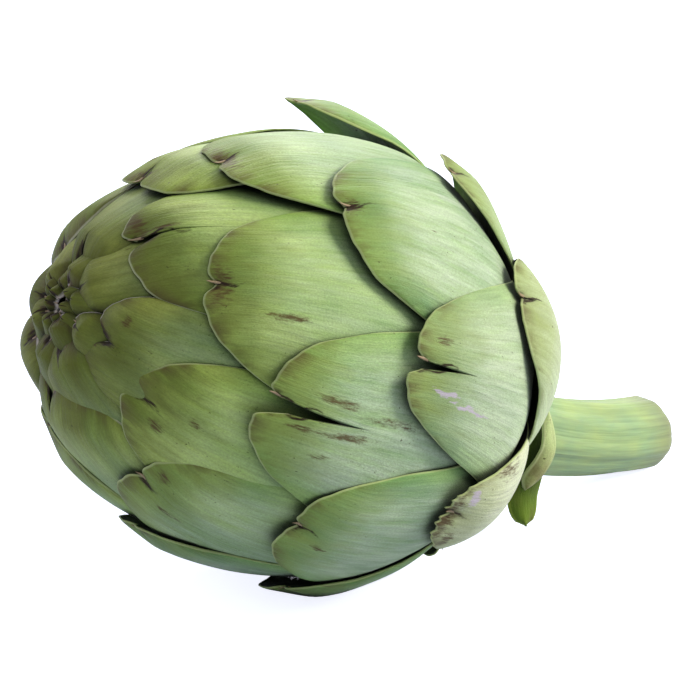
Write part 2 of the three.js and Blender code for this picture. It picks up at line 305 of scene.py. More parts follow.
# Two last small bracts bent down at the neck: root first, in mm from the head's middle.
BENT_BRACTS = [
    {
        "path": [
            (40, -13, -9),
            (48, -12.2, -11),
            (52.5, -12, -15.5),
            (51.5, -12.9, -20),
            (49.9, -13.9, -26),
            (47.5, -14.6, -32),
            (45.8, -15.1, -37),
            (45, -17, -42.5),
        ],
        "face": (-0.3, -1, 0.2),
        "half_width": 3.5,
        "cup": 0.6,
        "skin": "painted_shade_bract",
    },
    {
        "path": [
            (41, -14, -9.5),
            (48, -14.5, -12),
            (51.8, -15.5, -16),
            (51.8, -17.2, -20.5),
            (51, -18.4, -25),
            (48.7, -18.5, -28.9),
            (46, -17.7, -32),
            (44.3, -17.1, -33.6),
        ],
        "face": (0.3, -0.9, 0.3),
        "half_width": 2.4,
        "cup": 1.2,
        "skin": "dried_and_lit_bract",
    },
]
BENT_LENGTH = 50.0
BENT_THICKNESS = 0.7

# Skins of the bracts: dark and light green of the heart, the young and the grown leaves, the wax
# bloom over them, which also paints a highlight, then the colours of young and grown tips and of
# young and grown rims, the young rims partly a painted highlight.
BRACT_SKINS = {
    "waxy_bract": {
        "greens": (("#74882c", "#9fab48"), ("#97b648", "#bad262"), ("#5f9148", "#86ae5c")),
        "bloom_and_highlight": "#cfdcc4",
        "tips": ("#5c601e", "#8d9a40"),
        "rims": ("#ded6cc", "#c6d492"),
    },
    # A darker copy of the skin: painted shade for the bent bract that hangs in shadow.
    "painted_shade_bract": {
        "greens": (("#3c4f16", "#56701e"),) * 3,
        "bloom_and_highlight": "#6a7c38",
        "tips": ("#7f9a30", "#7f9a30"),
        "rims": ("#9fb048", "#9fb048"),
    },
    # A paler copy of the skin: partly dried, partly painted light, for the bent bract turned to the lamps.
    "dried_and_lit_bract": {
        "greens": (("#94a860", "#b6c684"),) * 3,
        "bloom_and_highlight": "#cdd4a8",
        "tips": ("#a9a868", "#8a7050"),
        "rims": ("#cfd2a0", "#cfd2a0"),
    },
}
# The straw that leaves with a pale habit are mixed towards: partly dried skin, partly painted light.
DRIED_AND_LIT_COLOUR = "#d9dfba"
RUST_COLOUR = "#5b4a2c"
SPECK_COLOUR = "#3f3a1c"
SCAR_COLOUR = "#574223"
NOTCH_COLOUR = "#2c170b"
BLISTER_COLOUR = "#c9bccb"
# Painted shade in the creases between the leaves: its near black green and how far in mm it reaches.
CREASE_SHADE_COLOUR = "#182210"
CREASE_SHADE_REACH = 5.0

# The table's glow is seen by the camera alone, so it whitens the table and throws no light back on
# the head. The room is white to the camera and dim as a light.
FLOOR_COLOUR = "#c6cde2"
FLOOR_GLOW_COLOUR = "#f4f6ff"
FLOOR_GLOW = 0.95
ROOM_COLOUR = "#f4f7ff"
ROOM_LIGHT = 0.08

# Camera: a little above the head, in mm from the head's middle. The distance is that of a close
# view, with the head's middle a little left of and below the middle of the frame.
CAMERA_TURN = math.radians(-36.5)
CAMERA_RAISE = math.radians(17.35)
CAMERA_DISTANCE = 420.0
CAMERA_SHIFT = (5.94, 3.36)
FOCAL_PIXELS = 1951.0
FRAME_PIXELS = 700.0
SENSOR_WIDTH = 36

# Soft windows round the head: towards the right, up and the camera, then metres away, metres
# across, watts and colour.
WINDOWS = [
    ("window", (0.95, 0.55, 0.2), 1.0, 0.5, 10.6, "#fffaf0"),
    ("back_window", (0.0, 0.9, -0.6), 1.0, 0.8, 8.5, "#fbf8ff"),
    ("room_window", (-0.1, 0.6, 1.0), 1.0, 0.8, 3.0, "#f8faff"),
    ("left_window", (-0.9, 0.6, -0.1), 1.0, 0.8, 4.0, "#e4e0ff"),
]

AXIS = np.array([-math.cos(HEAD_TILT), 0, math.sin(HEAD_TILT)])
UP = np.array([math.sin(HEAD_TILT), 0, math.cos(HEAD_TILT)])
SIDE = np.array([0.0, 1.0, 0.0])
BELLY = math.hypot(BASE_LENGTH * math.sin(HEAD_TILT), HEAD_RADIUS * math.cos(HEAD_TILT))
CENTRE = np.array([BELLY_OFFSET, 0, BELLY - REST_FLAT])


def semi_axis(angle):
    return np.where(angle < np.pi / 2, APEX_LENGTH, BASE_LENGTH)


outline_angles = np.linspace(-0.5, np.pi, 421)
outline = np.stack(
    [semi_axis(outline_angles) * np.cos(outline_angles), HEAD_RADIUS * np.sin(outline_angles)]
)
outline_arcs = np.concatenate([[0], np.cumsum(np.hypot(*np.diff(outline)))])
outline_arcs -= np.interp(0, outline_angles, outline_arcs)


def direction(turn):
    return np.cos(turn)[..., None] * UP + np.sin(turn)[..., None] * SIDE


def across_head(turn):
    """The way round the head, at a turn round its axis."""
    return -math.sin(turn) * UP + math.cos(turn) * SIDE


def on_egg(angle, turn):
    """Points and normals of the egg at outline angles and turns round its axis."""
    length = semi_axis(angle)
    outward = direction(turn)
    along = (length * np.cos(angle))[..., None] * AXIS
    point = CENTRE + along + (HEAD_RADIUS * np.sin(angle))[..., None] * outward
    normal = (HEAD_RADIUS * np.cos(angle))[..., None] * AXIS
    normal = normal + (length * np.sin(angle))[..., None] * outward
    return point, normal / np.linalg.norm(normal, axis=-1, keepdims=True)


def dive(bract, y):
    """How deep a bract lies under its own tip, y mm down from it."""
    scale = bract["scale"]
    plunge = np.clip((y / scale - BRACT_LENGTH) / PLUNGE_ARC + 1, 0, 1)
    step = STEP_UNDER * (1.8 - 0.8 * scale) * (1 - np.exp(-np.maximum(y / scale, 0) / STEP_ARC))
    return DIVE * y + step + PLUNGE * scale * plunge**2


def swelling(arc, turn):
    """How far the head stands out past the egg."""
    height = 0
    for size, at_arc, spread_arc, at_turn, spread_turn in SWELLINGS:
        away = ((arc - at_arc) / spread_arc) ** 2 + ((np.degrees(turn) - at_turn) / spread_turn) ** 2
        height = height + size * np.exp(-away)
    return height


class Draws:
    """The same run of draws as the part's own, so that a bract with the same habits stands where the
    part's bract does."""

    def __init__(self, value):
        self.value = value

    def next(self):
        self.value = (1664525 * self.value + 1013904223) % 4294967296
        return self.value / 4294967296


def plan_bract(number, draws):
    bract = {**dict.fromkeys(HABIT_NAMES, 0), "wide": 1, **HABITS.get(number, {}), "number": number}
    turn = FIRST_ANGLE + GOLDEN_ANGLE * number + bract["turn"] + TURN_SPREAD * (draws.next() - 0.5)
    tip = TIP_START + TIP_STEP * number + TIP_SPREAD * number**2 + bract["reach"]
    half_width = BRACT_HALF_WIDTH * bract["wide"] * (WIDTH_LEAST + WIDTH_SPREAD * draws.next())
    if number < 0:
        half_width += HEART_NARROWING * max(number, HEART_FROM)
    if number > FOOT_FROM:
        half_width -= FOOT_NARROWING * (number - FOOT_FROM)
    scale = 1
    if number < HEART_FROM:
        widest = TIP_START + TIP_STEP * HEART_FROM + TIP_SPREAD * HEART_FROM**2
        tip = widest * math.exp(HEART_SHRINK * (number - HEART_FROM))
        scale = (tip / widest) ** HEART_SIZES
        tip += bract["reach"]
    bract["scale"] = scale
    bract["turn"] = math.radians(turn)
    bract["tip"] = tip
    bract["half_width"] = half_width * scale
    bract["length"] = min(BRACT_LENGTH * scale, FOOT_ARC - tip)
    bract["plump"] = min(1, max(0, (PLUMP_FROM - number) / PLUMP_SPAN))
    if number < HEART_FROM:
        bract["lift"] += HEART_LIFT * np.random.default_rng(700 - number).uniform()
    return bract


def half_width_at(bract, y):
    past = y / bract["scale"] - WIDTH_FROM
    eased = WIDTH_FROM + (past + np.sqrt(past**2 + WIDTH_EASING)) / 2
    grown = (eased / WIDEST_AT) ** WIDENING
    rootward = np.maximum(0, (y - ROOT_FROM * bract["length"]) / (ROOT_SPAN * bract["length"]))
    return bract["half_width"] * grown * (1 - ROOT_NARROWING * rootward**2)


def edge_start(bract, u):
    """How far down from the tip the blade starts at each place across it."""
    lobe = np.where(u < 0, bract["lobe"], 0.0)
    outside = np.clip((np.abs(u) - lobe) / (1 - lobe), 0, 1)
    inside = np.clip(1 - np.abs(u) / np.maximum(lobe, 1e-6), 0, 1) * (lobe > 0)
    away = outside + LOBE_TURN * inside
    start = TIP_DEPTH * (1 - np.sqrt(np.clip(1 - away**TIP_ROUND, 0, 1)))
    start = start + NOTCH * np.exp(-((u / NOTCH_WIDTH) ** 2))
    start = start - bract["skew"] * np.clip(-u / SKEW_RUN, 0, 1) * (1 - np.abs(u))
    rng = np.random.default_rng(900 + bract["number"])
    for waves, size in TIP_WAVES:
        start = start + size * np.sin(waves * np.pi * u + rng.uniform(0, 2 * np.pi))
    for waves in RAGGED_WAVES:
        ripple = np.sin(waves * u + rng.uniform(0, 2 * np.pi))
        start = start + bract["ragged"] * RAGGED_SHARE * ripple * (1 - np.abs(u))
    return start * bract["scale"]


def waviness(bract, x, y):
    """The slow unevenness of a grown leaf, in mm."""
    rng = np.random.default_rng(300 + bract["number"])
    height = 0
    for across, down, size in BLADE_WAVES:
        phase = rng.uniform(0, 2 * np.pi, 2)
        height = height + size * np.sin(across * x + phase[0]) * np.cos(down * y + phase[1])
    return height


def bract_surface(bract, u, y, inset):
    """Points at u across a bract and y mm down it, laid on the egg and sunk rootward."""
    scale = bract["scale"]
    across = across_head(bract["turn"])
    angle = np.interp(bract["tip"] + y, outline_arcs, outline_angles)
    point, normal = on_egg(angle, np.full_like(angle, bract["turn"]))
    length = semi_axis(angle)
    bend = HEAD_RADIUS / length * np.hypot(HEAD_RADIUS * np.cos(angle), length * np.sin(angle))
    x = u * half_width_at(bract, y) * np.where(u < 0, 1 + bract["lower"], 1)
    opening = bract["gape"] / 2 * np.clip(1 - y / max(bract["split"], 1), 0, 1) ** 0.8
    x = x + np.sign(u) * opening * (1 - np.abs(u)) ** 2 + bract["lean"] * y
    swing = x / bend
    point = point + across * (bend * np.sin(swing))[..., None]
    point = point - normal * (bend * (1 - np.cos(swing)))[..., None]
    local = point - CENTRE
    along, out_side, out_up = local @ AXIS, local @ SIDE, local @ UP
    radius = np.hypot(out_side, out_up)
    ahead = np.where(along > 0, APEX_LENGTH, BASE_LENGTH)
    here = np.arctan2(radius / HEAD_RADIUS, along / ahead)
    base, out = on_egg(here, np.arctan2(out_side, out_up))
    here_arc = np.interp(here, outline_angles, outline_arcs)
    height = swelling(here_arc, np.arctan2(out_side, out_up)) - dive(bract, here_arc - bract["tip"])
    plump = bract["plump"] * np.exp(-((y / scale / PLUMP_REACH) ** 2))
    covered = np.clip((y / scale - BULGE_FROM) / BULGE_FADE, 0, 1)
    bulge = BULGE * (1 - BULGE_COVERED * covered) + PLUMP_BULGE * plump
    height = height + bulge * (1 - u**2) * np.clip(y / scale / BULGE_RISE, 0, 1)
    tilt = bract["lift"] * (1 - LIFT_ARCH * u**2) + bract["twist"] * u
    height = height + tilt * np.clip(1 - (y / scale / LIFT_REACH) ** 2, 0, 1) ** 2
    belly = np.sin(np.pi * np.clip(y / BELLY_REACH, 0, 1)) ** 1.3
    height = height + bract["belly"] * belly * (1 - 0.75 * u**2)
    flare = np.clip(-u, 0, 1) ** 3 * np.sin(np.pi * np.clip((y - FLARE_FROM) / FLARE_RUN, 0, 1))
    height = height + bract["flare"] * flare
    rim = edge_distance(bract, u, y)
    rim_drop = RIM_DROP + PLUMP_RIM_DROP * plump
    height = height - rim_drop * np.exp(-rim / (RIM_RUN + PLUMP_RIM_RUN * plump))
    dimple_x = x / scale / DIMPLE_ACROSS
    dimple_y = (y / scale - NOTCH) / DIMPLE_DOWN
    height = height - DIMPLE_DEPTH * scale * np.exp(-(dimple_x**2) - dimple_y**2)
    height = height + waviness(bract, x, y) * scale - inset
    point = base + out * height[..., None]
    point[..., 2] = np.maximum(point[..., 2], 0)
    return point


def edge_distance(bract, u, y):
    from_side = (1 - np.abs(u)) * half_width_at(bract, y)
    from_tip = (y - edge_start(bract, u)) * 0.8
    return np.maximum(0, np.minimum(from_side, from_tip))


def srgb(code):
    """A colour written in hex, as a linear colour."""
    parts = [int(code[i : i + 2], 16) / 255 for i in (1, 3, 5)]
    return [c / 12.92 if c <= 0.04045 else ((c + 0.055) / 1.055) ** 2.4 for c in parts] + [1.0]


def add(tree, kind, inputs, **settings):
    """A node with its settings, values and links. A node given as an input stands for the first of
    its outputs that is in use."""
    node = tree.nodes.new(kind)
    for key, value in settings.items():
        setattr(node, key, value)
    for key, value in inputs.items():
        if isinstance(value, bpy.types.Node):
            value = next(output for output in value.outputs if output.enabled)
        if isinstance(value, bpy.types.NodeSocket):
            tree.links.new(value, node.inputs[key])
        else:
            node.inputs[key].default_value = value
    return node


def new_material(name):
    material = bpy.data.materials.new(name)
    material.use_nodes = True
    material.node_tree.nodes.clear()
    return material, material.node_tree


def bract_skin(name, greens, bloom_and_highlight, tips, rims):
    """Living leaf under a thin wax: satin, finely ribbed, olive at the tip, paler where waxed and where a
    highlight is painted mid-leaf, with painted shade in the creases.
    """
    material, tree = new_material(name)
    leaf = add(tree, "ShaderNodeAttribute", {}, attribute_name="leaf")
    marks = add(tree, "ShaderNodeAttribute", {}, attribute_name="marks")
    edges = add(tree, "ShaderNodeAttribute", {}, attribute_name="edges")
    number = add(tree, "ShaderNodeSeparateXYZ", {0: leaf.outputs["Vector"]}).outputs["Z"]
    mark = add(tree, "ShaderNodeSeparateXYZ", {0: marks.outputs["Vector"]}).outputs
    edge = add(tree, "ShaderNodeSeparateXYZ", {0: edges.outputs["Vector"]}).outputs
    pattern = {}
    for key, (waves, detail, roughness) in SKIN_PATTERNS.items():
        spot = add(tree, "ShaderNodeVectorMath", {0: leaf.outputs["Vector"], 1: waves}, operation="MULTIPLY")
        inputs = {"Vector": spot, "Scale": 1.0, "Detail": detail, "Roughness": roughness}
        pattern[key] = add(tree, "ShaderNodeTexNoise", inputs)

    # From the heart outwards, and from tip to root, the leaves go from olive through bright green
    # to a bluer green.
    patch = add(tree, "ShaderNodeMapRange", {0: pattern["patches"], 1: 0.38, 2: 0.62, 3: 0.0, 4: 1.0})
    shades = []
    for dark, light in greens:
        ends = {0: patch, 6: srgb(dark), 7: srgb(light)}
        shades.append(add(tree, "ShaderNodeMix", ends, data_type="RGBA"))
    opened = add(tree, "ShaderNodeMapRange", {0: number, 1: -9.0, 2: -4.0, 3: 0.0, 4: 1.0})
    age = add(tree, "ShaderNodeMapRange", {0: number, 1: -3.0, 2: 7.0, 3: 0.0, 4: 1.0})
    rootward = add(tree, "ShaderNodeMapRange", {0: edge["Y"], 1: 12.0, 2: 45.0, 3: age, 4: 0.9})
    inner = add(tree, "ShaderNodeMix", {0: opened, 6: shades[0], 7: shades[1]}, data_type="RGBA")
    green = add(tree, "ShaderNodeMix", {0: rootward, 6: inner, 7: shades[2]}, data_type="RGBA")

    # Wax bloom on the leaf's back, which is also a painted highlight: pale streaks about 2 mm wide,
    # thin at the tip and along the edge, so the middle of each leaf is painted lighter.
    streaked = add(tree, "ShaderNodeMapRange", {0: pattern["streaks"], 1: 0.32, 2: 0.66, 3: 0.4, 4: 1.0})
    off_tip = add(tree, "ShaderNodeMapRange", {0: edge["Y"], 1: 3.0, 2: 18.0, 3: 0.1, 4: streaked})
    off_edge = add(tree, "ShaderNodeMapRange", {0: edge["X"], 1: 0.0, 2: 8.0, 3: 0.05, 4: off_tip})
    wax_and_highlight_age = add(tree, "ShaderNodeMapRange", {0: age, 1: 0.0, 2: 1.0, 3: 0.25, 4: 0.7})
    wax_and_highlight = add(tree, "ShaderNodeMath", {0: off_edge, 1: wax_and_highlight_age}, operation="MULTIPLY")
    waxed_and_lit = add(tree, "ShaderNodeMix", {0: wax_and_highlight, 6: green, 7: srgb(bloom_and_highlight)}, data_type="RGBA")
    # Mixed towards straw by the pale habit: partly dried skin, partly painted light.
    paled_and_lit = add(tree, "ShaderNodeMix", {0: edge["Z"], 6: waxed_and_lit, 7: srgb(DRIED_AND_LIT_COLOUR)}, data_type="RGBA")

    # Ribs about 0.8 mm apart that run from the root to the tip, and the skin's grain of 0.3 mm.
    rib = add(tree, "ShaderNodeMapRange", {0: pattern["ribs"], 1: 0.3, 2: 0.7, 3: 0.86, 4: 1.12})
    grain = add(tree, "ShaderNodeMapRange", {0: pattern["grain"], 1: 0.3, 2: 0.7, 3: 0.86, 4: 1.14})
    shade = add(tree, "ShaderNodeMath", {0: rib, 1: grain}, operation="MULTIPLY")
    colour = add(tree, "ShaderNodeVectorMath", {0: paled_and_lit, "Scale": shade}, operation="SCALE")

    # Tips turn olive, further down the leaf and more fully on the young ones.
    uneven = {0: pattern["tips"], 1: -26.0, 2: edge["Y"]}
    shift = add(tree, "ShaderNodeMath", uneven, operation="MULTIPLY_ADD")
    reach = add(tree, "ShaderNodeMapRange", {0: age, 1: 0.0, 2: 1.0, 3: 3.0, 4: 1.0})
    past = add(tree, "ShaderNodeMath", {0: shift, 1: reach}, operation="SUBTRACT")
    most = add(tree, "ShaderNodeMapRange", {0: age, 1: 0.0, 2: 1.0, 3: 0.75, 4: 0.6})
    olive = add(tree, "ShaderNodeMapRange", {0: past, 1: 3.0, 2: -13.0, 3: 0.0, 4: most})
    tip_ends = {0: age, 6: srgb(tips[0]), 7: srgb(tips[1])}
    tip_colour = add(tree, "ShaderNodeMix", tip_ends, data_type="RGBA")

    # Rust along the tip's rim, in patches.
    rust_patch = add(tree, "ShaderNodeMapRange", {0: pattern["tips"], 1: 0.42, 2: 0.6, 3: 0.0, 4: 0.7})
    rust_tip = add(tree, "ShaderNodeMapRange", {0: edge["Y"], 1: 15.0, 2: 4.0, 3: 0.0, 4: rust_patch})
    rust = add(tree, "ShaderNodeMapRange", {0: edge["X"], 1: 3.2, 2: 0.3, 3: 0.0, 4: rust_tip})

    # Dark specks 0.3 mm wide, where insects and knocks have marked the skin.
    field = add(tree, "ShaderNodeMapRange", {0: pattern["fields"], 1: 0.45, 2: 0.6, 3: 0.0, 4: 0.75})
    speck = add(tree, "ShaderNodeMapRange", {0: pattern["specks"], 1: 0.69, 2: 0.73, 3: 0.0, 4: field})

    # Dry brown in the scars, darker at the notch, and grey-lilac blisters, all broken up finely.
    scar_at = add(tree, "ShaderNodeMath", {0: mark["X"], 1: pattern["flecks"]}, operation="ADD")
    scar = add(tree, "ShaderNodeMapRange", {0: scar_at, 1: 0.98, 2: 1.18, 3: 0.0, 4: 0.9})
    notch_at = add(tree, "ShaderNodeMath", {0: mark["Z"], 1: pattern["flecks"]}, operation="ADD")
    notch = add(tree, "ShaderNodeMapRange", {0: notch_at, 1: 0.95, 2: 1.2, 3: 0.0, 4: 0.95})
    blister_at = add(tree, "ShaderNodeMath", {0: mark["Y"], 1: pattern["flecks"]}, operation="ADD")
    blister = add(tree, "ShaderNodeMapRange", {0: blister_at, 1: 1.0, 2: 1.15, 3: 0.0, 4: 0.85})

    # Painted shade: the colour darkens towards a near black green in the creases where one leaf lies
    # on the next, as far as the occlusion reaches.
    crease_occlusion = add(tree, "ShaderNodeAmbientOcclusion", {"Distance": CREASE_SHADE_REACH * MM}, samples=6)
    crease_shade = add(tree, "ShaderNodeMapRange", {0: crease_occlusion.outputs["AO"], 1: 0.92, 2: 0.35, 3: 0.0, 4: 0.88})

    # The edge is dry and see-through, so a thin pale rim shows round the leaf. On the young leaves of
    # the heart its cream-lilac is partly a painted highlight.
    rim_most = add(tree, "ShaderNodeMapRange", {0: opened, 1: 0.0, 2: 1.0, 3: 0.8, 4: 0.6})
    edge_line = add(tree, "ShaderNodeMapRange", {0: edge["X"], 1: 0.35, 2: 0.02, 3: 0.0, 4: rim_most})
    rim_ends = {0: opened, 6: srgb(rims[0]), 7: srgb(rims[1])}
    rim_colour = add(tree, "ShaderNodeMix", rim_ends, data_type="RGBA")
    layers = [
        (olive, tip_colour),
        (rust, srgb(RUST_COLOUR)),
        (speck, srgb(SPECK_COLOUR)),
        (scar, srgb(SCAR_COLOUR)),
        (notch, srgb(NOTCH_COLOUR)),
        (blister, srgb(BLISTER_COLOUR)),
        (crease_shade, srgb(CREASE_SHADE_COLOUR)),
        (edge_line, rim_colour),
    ]
    for share, over in layers:
        colour = add(tree, "ShaderNodeMix", {0: share, 6: colour, 7: over}, data_type="RGBA")

    rough = add(tree, "ShaderNodeMapRange", {0: pattern["streaks"], 1: 0.3, 2: 0.7, 3: 0.42, 4: 0.58})
    waves = add(tree, "ShaderNodeMath", {0: pattern["ribs"], 1: pattern["streaks"]}, operation="ADD")
    relief = add(tree, "ShaderNodeMath", {0: pattern["grain"], 1: 0.35, 2: waves}, operation="MULTIPLY_ADD")
    bump = add(tree, "ShaderNodeBump", {"Strength": 0.6, "Distance": 0.0003, "Height": relief})
    skin = add(
        tree,
        "ShaderNodeBsdfPrincipled",
        {
            "Base Color": colour,
            "Roughness": rough,
            "IOR": 1.45,
            "Specular IOR Level": 0.2,
            "Subsurface Weight": 0.1,
            "Subsurface Radius": (0.6, 1.0, 0.3),
            "Subsurface Scale": 0.001,
            "Sheen Weight": 0.06,
            "Sheen Roughness": 0.5,
            "Normal": bump,
        },
    )
    add(tree, "ShaderNodeOutputMaterial", {"Surface": skin})
    return material


def plain_material(name, colour, roughness):
    material, tree = new_material(name)
    skin = add(tree, "ShaderNodeBsdfPrincipled", {"Base Color": srgb(colour), "Roughness": roughness})
    add(tree, "ShaderNodeOutputMaterial", {"Surface": skin})
    return material


def stem_skin():
    """Ribbed green stalk: matt, pale, with long fibres and yellowed patches, browner at the cut."""
    material, tree = new_material("ribbed_stalk")
    leaf = add(tree, "ShaderNodeAttribute", {}, attribute_name="leaf")
    place = leaf.outputs["Vector"]
    run = add(tree, "ShaderNodeSeparateXYZ", {0: place})
    fibre_place = add(tree, "ShaderNodeVectorMath", {0: place, 1: (1.2, 0.05, 1.0)}, operation="MULTIPLY")
    fibres = add(tree, "ShaderNodeTexNoise", {"Vector": fibre_place, "Scale": 1.0, "Detail": 4.0})
    patch_place = add(tree, "ShaderNodeVectorMath", {0: place, 1: (0.12, 0.07, 1.0)}, operation="MULTIPLY")
    patches = add(tree, "ShaderNodeTexNoise", {"Vector": patch_place, "Scale": 1.0, "Detail": 4.0})
    patch = add(tree, "ShaderNodeMapRange", {0: patches, 1: 0.35, 2: 0.65, 3: 0.0, 4: 1.0})
    green = add(tree, "ShaderNodeMix", {0: patch, 6: srgb("#8fb07c"), 7: srgb("#a8bf74")}, data_type="RGBA")
    fibre = add(tree, "ShaderNodeMapRange", {0: fibres, 1: 0.3, 2: 0.7, 3: 0.82, 4: 1.14})
    streaked = add(tree, "ShaderNodeVectorMath", {0: green, "Scale": fibre}, operation="SCALE")
    near_cut = add(tree, "ShaderNodeMath", {0: run.outputs["Y"], 1: patches}, operation="ADD")
    browned = add(tree, "ShaderNodeMapRange", {0: near_cut, 1: 60.0, 2: 74.0, 3: 0.0, 4: 0.6})
    cut = add(tree, "ShaderNodeMix", {0: browned, 6: streaked, 7: srgb("#7d6f52")}, data_type="RGBA")
    bump = add(tree, "ShaderNodeBump", {"Strength": 0.6, "Distance": 0.0005, "Height": fibres})
    skin = add(
        tree,
        "ShaderNodeBsdfPrincipled",
        {
            "Base Color": cut,
            "Roughness": 0.6,
            "Subsurface Weight": 0.15,
            "Subsurface Radius": (0.8, 1.2, 0.4),
            "Subsurface Scale": 0.001,
            "Sheen Weight": 0.3,
            "Normal": bump,
        },
    )
    add(tree, "ShaderNodeOutputMaterial", {"Surface": skin})
    return material


def make_mesh(name, points, faces, materials, face_materials=None, attributes=None):
    mesh = bpy.data.meshes.new(name)
    mesh.from_pydata((np.asarray(points) * MM).tolist(), [], faces)
    for material in materials:
        mesh.materials.append(material)
    if face_materials is not None:
        mesh.polygons.foreach_set("material_index", face_materials)
    mesh.polygons.foreach_set("use_smooth", [True] * len(mesh.polygons))
    for key, values in (attributes or {}).items():
        layer = mesh.attributes.new(key, "FLOAT_VECTOR", "POINT")
        layer.data.foreach_set("vector", np.asarray(values, dtype=np.float32).ravel())
    mesh.update()
    thing = bpy.data.objects.new(name, mesh)
    bpy.context.scene.collection.objects.link(thing)
    return thing


def band_faces(rings, sides):
    """Faces between closed rings of points that follow one another."""
    faces = []
    for i in range(rings - 1):
        for j in range(sides):
            k = (j + 1) % sides
            faces.append((i * sides + j, i * sides + k, (i + 1) * sides + k, (i + 1) * sides + j))
    return faces


def place_piece(thing, node):
    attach(thing, "root")
    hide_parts(node)


def close_sheet(outer, inner, quads, values):
    """Joins an outer and an inner face round every open edge by a rounded rim."""
    count = len(outer)
    edge_use = {}
    for quad in quads:
        for a, b in zip(quad, quad[1:] + quad[:1]):
            edge_use[(a, b)] = edge_use.get((a, b), 0) + 1
    border = [(a, b) for (a, b) in edge_use if (b, a) not in edge_use]
    border_points = sorted({a for a, b in border} | {b for a, b in border})
    on_border = set(border_points)
    neighbours = {p: [] for p in border_points}
    for a, b in edge_use:
        if a in on_border and b not in on_border:
            neighbours[a].append(b)
        if b in on_border and a not in on_border:
            neighbours[b].append(a)
    rim_points = []
    for p in border_points:
        middle = (outer[p] + inner[p]) / 2
        inside = outer[neighbours[p]].mean(axis=0) if neighbours[p] else middle
        outward = outer[p] - inside
        size = np.linalg.norm(outward)
        thick = np.linalg.norm(outer[p] - inner[p])
        rim_points.append(middle + outward / size * thick * 0.4 if size > 1e-6 else middle)
    rim_index = {p: 2 * count + i for i, p in enumerate(border_points)}
    faces = [tuple(q) for q in quads]
    faces += [tuple(count + p for p in reversed(q)) for q in quads]
    for a, b in border:
        faces.append((b, a, rim_index[a], rim_index[b]))
        faces.append((rim_index[b], rim_index[a], count + a, count + b))
    points = np.concatenate([outer, inner, np.array(rim_points)])
    carried = {}
    for key, value in values.items():
        carried[key] = np.concatenate([value, value, value[border_points]])
    return points, faces, carried


def thorn_points(bract):
    """A short curved thorn that stands in the notch."""
    scale = bract["scale"]
    foot_y = (NOTCH + 1.4) * scale
    point_y = (NOTCH - THORN_LENGTH / scale**0.4) * scale
    beside = np.array([0.02])
    foot = bract_surface(bract, beside, np.array([foot_y]), np.array([0.3 * scale]))[0]
    point = bract_surface(bract, beside, np.array([point_y]), np.array([-0.5 * scale]))[0]
    run = point - foot
    side = across_head(bract["turn"])
    rise = np.cross(run, side)
    rise /= np.linalg.norm(rise)
    rings, sides = 7, 10
    points = []
    for i in range(rings):
        part = i / (rings - 1)
        centre = foot + run * part + rise * 0.25 * math.sin(math.pi * part)
        radius = THORN_RADIUS * scale**0.5 * (1 - part) ** 0.8 + 0.04
        for j in range(sides):
            turn = 2 * math.pi * j / sides
            points.append(centre + radius * (math.cos(turn) * side * 1.25 + math.sin(turn) * rise * 0.8))
    faces = band_faces(rings, sides)
    faces.append(tuple((rings - 1) * sides + j for j in range(sides)))
    return np.array(points), faces


def mark_values(bract, x, y):
    """Where the scars, blisters and the dry notch lie: one strength each per point."""
    values = np.zeros(x.shape + (3,))
    zigzag = np.abs((y / 2.6) % 2 - 1) - 0.5 - 0.15 * y
    for kind, at_x, at_y, size_x, size_y in MARKS.get(bract["number"], []):
        channel, strength = MARK_KINDS[kind]
        bent = zigzag if kind == "blister" else 0
        away = ((x - at_x - bent) / size_x) ** 2 + ((y - at_y) / size_y) ** 2
        values[..., channel] = np.maximum(values[..., channel], np.exp(-away) * strength)
    rng = np.random.default_rng(40 + bract["number"])
    for _ in range(4):
        at_x, at_y = rng.uniform(-12, 12), rng.uniform(4, 34)
        away = ((x - at_x) / rng.uniform(0.5, 1.2)) ** 2 + ((y - at_y) / rng.uniform(1.5, 5)) ** 2
        values[..., 0] = np.maximum(values[..., 0], np.exp(-away) * rng.uniform(0.35, 0.6))
    x, y = x / bract["scale"] ** 0.5, y / bract["scale"] ** 0.5
    if bract["scale"] < 1:
        dried = 0.62 * np.exp(-((x / 5) ** 2) - ((y - NOTCH) / 3.5) ** 2)
        values[..., 0] = np.maximum(values[..., 0], dried)
    wander = 0.5 * np.sin(0.9 * y + bract["number"]) * np.clip(y / 6, 0, 1)
    run = 7 + bract["split"] * 0.4
    tear = np.exp(-(((x - wander) / 0.5) ** 2)) * np.clip(1.2 - (y - NOTCH) / run, 0, 0.8)
    notch_x, notch_y = (2.4, 3.2) if bract["scale"] < 1 else (1.8, 1.8)
    round_notch = 0.75 * np.exp(-((x / notch_x) ** 2) - ((y - NOTCH) / notch_y) ** 2)
    values[..., 2] = np.maximum(values[..., 2], np.maximum(tear, round_notch))
    return values


